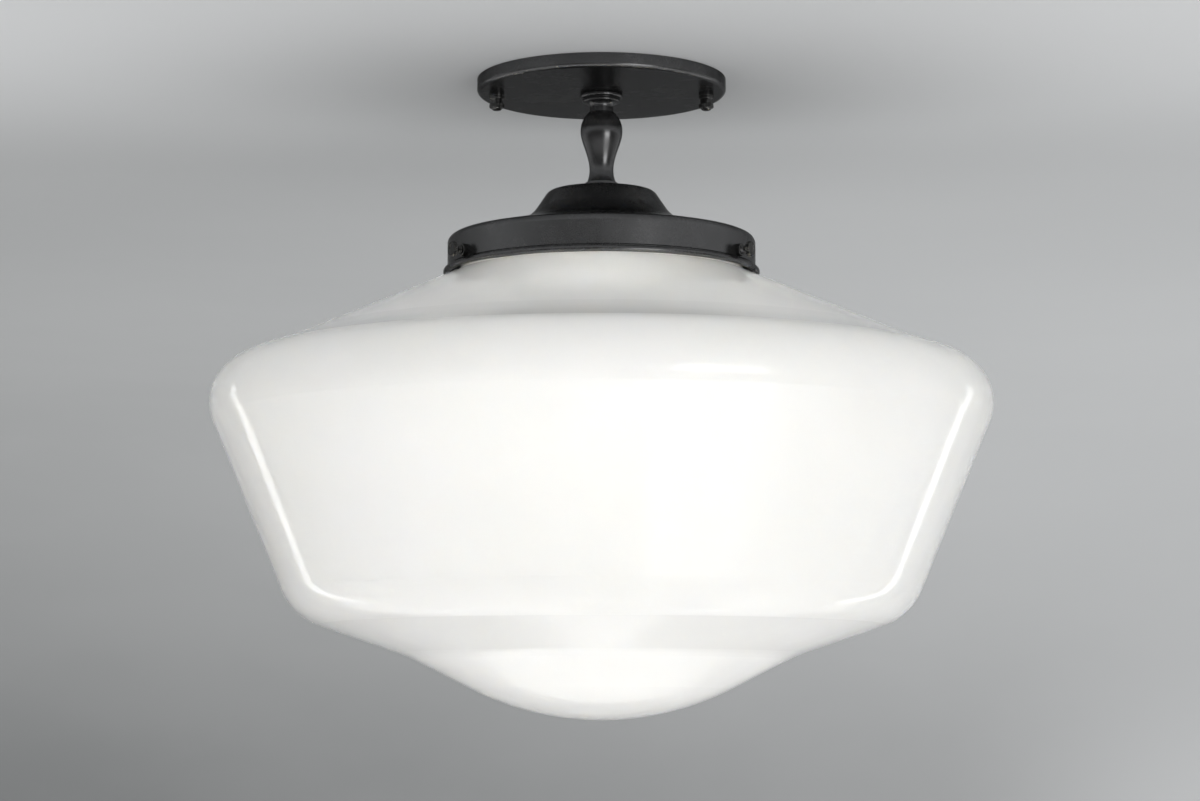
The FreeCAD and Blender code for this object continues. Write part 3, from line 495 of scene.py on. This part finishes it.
def stage_material():
    """Matt grey paper painted with light and shade, which also glows a little near the front for the camera.
    It is clear from its back, so the light can be seen from above and from behind.
    """
    m = Shader("stage_grey", Roughness=0.95, Specular_IOR_Level=0.1)
    fibre = m.noise(900, 3, 0.6)
    parts = m.node("ShaderNodeSeparateXYZ", Vector=m.where()).outputs
    # Painted light and shade on the paper: lighter near the front and to the right, darker lower down and to
    # the left, with a painted bright corner low on the right.
    near = m.ramp(parts["Y"], 0.25, -0.14)
    lower = m.ramp(parts["Z"], 0.0, -0.46)
    aside = m.ramp(parts["X"], -0.9, 0.9)
    corner = m.sum(m.ramp(parts["X"], 0.45, 0.90), lower, "MULTIPLY")
    left = m.mix(lower, (0.50, 0.51, 0.513, 1), (0.32, 0.328, 0.331, 1))
    right = m.mix(lower, (0.72, 0.733, 0.74, 1), (0.54, 0.55, 0.555, 1))
    across = m.mix(near, m.mix(aside, left, right), (0.72, 0.732, 0.74, 1))
    seen = m.mix(corner, across, (0.80, 0.812, 0.82, 1))
    # Painted shade on the ceiling in front of the light, with a painted light patch that the holder's band
    # mirrors as its highlight.
    from_painted_light_patch = m.node("ShaderNodeVectorMath", {"operation": "DISTANCE"}, i0=m.where(), i1=PAINTED_LIGHT_PATCH)
    painted_light_patch = m.ramp(from_painted_light_patch.outputs["Value"], 0.60, 0.15)
    painted_light_and_shade_ahead = m.mix(painted_light_patch, (0.24, 0.244, 0.246, 1), (0.88, 0.893, 0.90, 1))
    tone = m.mix(m.ramp(parts["Y"], -0.25, -0.60), seen, painted_light_and_shade_ahead)
    blotch = m.ramp(m.noise(3, 3, 0.5), 0.3, 0.7, 0.0, 0.04)
    m.set("Base Color", m.mix(blotch, tone, (1, 1, 1, 1)))
    # Painted light: the ceiling near the front glows for the camera alone.
    camera_ray = m.node("ShaderNodeLightPath").outputs["Is Camera Ray"]
    m.set("Emission Color", grey(1.0))
    m.set("Emission Strength", m.sum(m.ramp(parts["Y"], 0.25, -0.20, 0.0, 0.12), camera_ray, "MULTIPLY"))
    m.set("Normal", m.bump(fibre, 0.0001, 0.4))
    clear = m.node("ShaderNodeBsdfTransparent").outputs[0]
    back = m.node("ShaderNodeNewGeometry").outputs["Backfacing"]
    both = m.node("ShaderNodeMixShader", i0=back, i1=m.surface.outputs[0], i2=clear)
    m.tree.links.new(both.outputs[0], m.tree.nodes["Material Output"].inputs["Surface"])
    return m.material


def stage():
    mesh = bmesh.new()
    inner = []
    outer = []
    for i in range(HOLE_SIDES):
        angle = 2 * math.pi * i / HOLE_SIDES
        across, along = math.cos(angle), math.sin(angle)
        inner.append(mesh.verts.new((HOLE_RADIUS * across, HOLE_RADIUS * along, CEILING_Z)))
        reach = 1.0 / max(abs(across), abs(along))
        outer.append(mesh.verts.new((reach * across, reach * along, CEILING_Z)))
    for i in range(HOLE_SIDES):
        j = (i + 1) % HOLE_SIDES
        mesh.faces.new((inner[i], inner[j], outer[j], outer[i]))
    for x0, x1, y0, y1 in ((-STAGE_SIDE, STAGE_SIDE, STAGE_FRONT, -1), (-STAGE_SIDE, -1, -1, 1),
                           (1, STAGE_SIDE, -1, 1), (-STAGE_SIDE, STAGE_SIDE, 1, WALL_START)):
        corners = ((x0, y0), (x0, y1), (x1, y1), (x1, y0))
        mesh.faces.new([mesh.verts.new((x, y, CEILING_Z)) for x, y in corners])
    turns = [math.pi / 2 * i / BEND_STEPS for i in range(BEND_STEPS + 1)]
    path = [(WALL_START + WALL_BEND * math.sin(turn), CEILING_Z - WALL_BEND * (1 - math.cos(turn)))
            for turn in turns]
    path.append((WALL_START + WALL_BEND, WALL_FOOT))
    rows = [[mesh.verts.new((x, y, z)) for x in (-STAGE_SIDE, STAGE_SIDE)] for y, z in path]
    for (a, b), (c, d) in zip(rows, rows[1:]):
        mesh.faces.new((a, c, d, b))
    bmesh.ops.remove_doubles(mesh, verts=mesh.verts, dist=1e-5)
    data = bpy.data.meshes.new("ceiling")
    for face in mesh.faces:
        face.smooth = True
        wanted = Vector((0, -1, -1))
        face.normal_update()
        if face.normal.dot(wanted) < 0:
            face.normal_flip()
    mesh.to_mesh(data)
    mesh.free()
    data.materials.append(stage_material())
    made = bpy.data.objects.new("ceiling", data)
    bpy.context.collection.objects.link(made)


stage()


# ---- Light ---------------------------------------------------------------------------------------

def softbox(name, place, target, width, height, power, mirrored=True):
    data = bpy.data.lights.new(name, "AREA")
    data.shape = "RECTANGLE"
    data.size = width
    data.size_y = height
    data.energy = power
    made = bpy.data.objects.new(name, data)
    made.location = place
    made.rotation_euler = (Vector(target) - Vector(place)).to_track_quat("-Z", "Y").to_euler()
    made.visible_camera = False
    made.visible_glossy = mirrored
    bpy.context.collection.objects.link(made)


MIDDLE = (0, 0, -0.19)
softbox("window_left", (0.72, -1.58, -1.30), MIDDLE, 0.5, 1.15, 1.6)
softbox("window_right", (1.24, -1.24, -1.30), MIDDLE, 0.5, 1.15, 1.3)
softbox("left_strip", (-1.35, 1.0, -0.7), MIDDLE, 0.14, 1.5, 1.0)
softbox("right_strip", (1.35, 1.0, -0.7), MIDDLE, 0.14, 1.5, 1.0)
softbox("low_front", (1.05, -1.62, -0.45), (0, 0, -0.04), 0.9, 0.5, 5)
softbox("back_wash", (0, 1.2, -2.0), (0, 1.7, 0), 2.4, 1.0, 13.5, mirrored=False)
softbox("left_fill", (-1.7, -1.0, -0.6), MIDDLE, 1.4, 1.4, 3.2, mirrored=False)
softbox("low_fill", (0, -0.9, -1.5), (0, 0, -0.3), 1.6, 0.9, 1.6, mirrored=False)
softbox("above_hole", (0, 0, 0.7), (0, 0, 0), 0.5, 0.5, 5)

INSIDE_LIGHTS = 3
INSIDE_POWER = 0.41
INSIDE_SIZE = 0.02
INSIDE_RADIUS = 0.085
INSIDE_Z = -0.158
for i in range(INSIDE_LIGHTS):
    turn = 2 * math.pi * (i + 0.25) / INSIDE_LIGHTS
    data = bpy.data.lights.new("inside_%d" % i, "POINT")
    data.energy = INSIDE_POWER
    data.shadow_soft_size = INSIDE_SIZE
    made = bpy.data.objects.new("inside_%d" % i, data)
    made.location = (INSIDE_RADIUS * math.cos(turn), INSIDE_RADIUS * math.sin(turn), INSIDE_Z)
    bpy.context.collection.objects.link(made)


def room():
    """An even light for matt surfaces. What is seen or mirrored is grey behind, dark in front, pale below."""
    world = bpy.data.worlds.new("world")
    world.use_nodes = True
    nodes, links = world.node_tree.nodes, world.node_tree.links

    def node(kind, settings, inputs):
        made = nodes.new(kind)
        for key, value in settings.items():
            setattr(made, key, value)
        for index, value in inputs.items():
            if isinstance(value, bpy.types.NodeSocket):
                links.new(value, made.inputs[index])
            else:
                made.inputs[index].default_value = value
        return made.outputs

    smooth = {"interpolation_type": "SMOOTHSTEP"}
    towards = node("ShaderNodeSeparateXYZ", {}, {0: node("ShaderNodeTexCoord", {}, {})["Generated"]})
    front = node("ShaderNodeMapRange", smooth, {0: towards["Y"], 1: 0.3, 2: -0.3})["Result"]
    below = node("ShaderNodeMapRange", smooth, {0: towards["Z"], 1: -0.25, 2: -0.65})["Result"]
    level = node("ShaderNodeMix", {"data_type": "RGBA"}, {0: front, 6: grey(0.40), 7: grey(0.08)})[2]
    colour = node("ShaderNodeMix", {"data_type": "RGBA"}, {0: below, 6: level, 7: grey(0.80)})[2]
    seen = node("ShaderNodeBackground", {}, {0: colour})[0]
    even = node("ShaderNodeBackground", {}, {0: grey(0.75), 1: 0.54})[0]
    matt = node("ShaderNodeLightPath", {}, {})["Is Diffuse Ray"]
    links.new(node("ShaderNodeMixShader", {}, {0: matt, 1: seen, 2: even})[0],
              nodes["World Output"].inputs["Surface"])
    return world


bpy.context.scene.world = room()
bpy.context.scene.view_settings.view_transform = "Standard"
